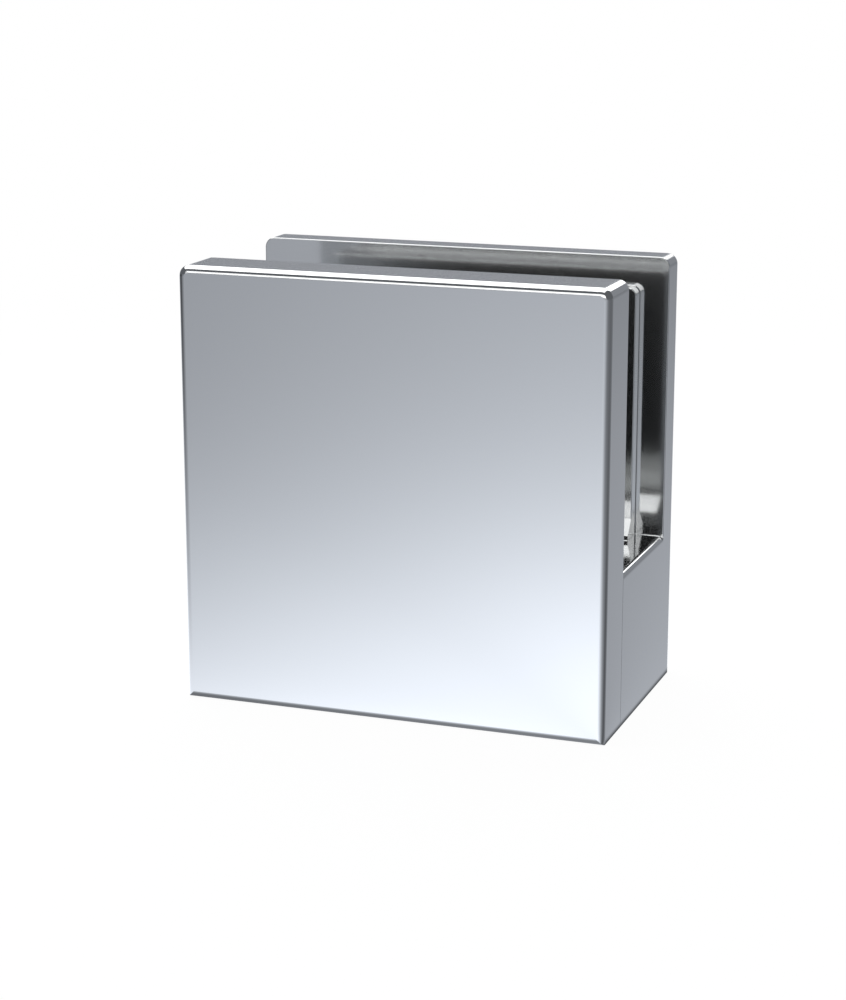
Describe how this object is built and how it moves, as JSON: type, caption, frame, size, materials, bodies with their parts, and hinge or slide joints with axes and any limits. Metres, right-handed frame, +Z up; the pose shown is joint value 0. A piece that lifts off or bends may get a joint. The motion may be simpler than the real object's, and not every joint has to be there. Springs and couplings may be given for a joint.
{
  "type": "glass clamp foot",
  "caption": "Square chrome clamp foot that stands a glass shower screen in an open slot between a rear plate cast with the base block and a bolted front plate.",
  "frame": {"origin": "on the floor, in the middle of the foot's width and depth", "axes": "+X across the foot to the right seen from the front, -Y towards the front plate's plain face, +Z up"},
  "size_m": [0.05, 0.0286, 0.0504],
  "materials": {
    "body_chrome": "polished chrome plating",
    "plate_chrome": "polished chrome plating",
    "screw_steel": "bright stainless steel"
  },
  "bodies": {
    "root": {"base_body": "body_chrome", "front_plate": "plate_chrome", "clamp_screws": "screw_steel"}
  },
  "joints": []
}
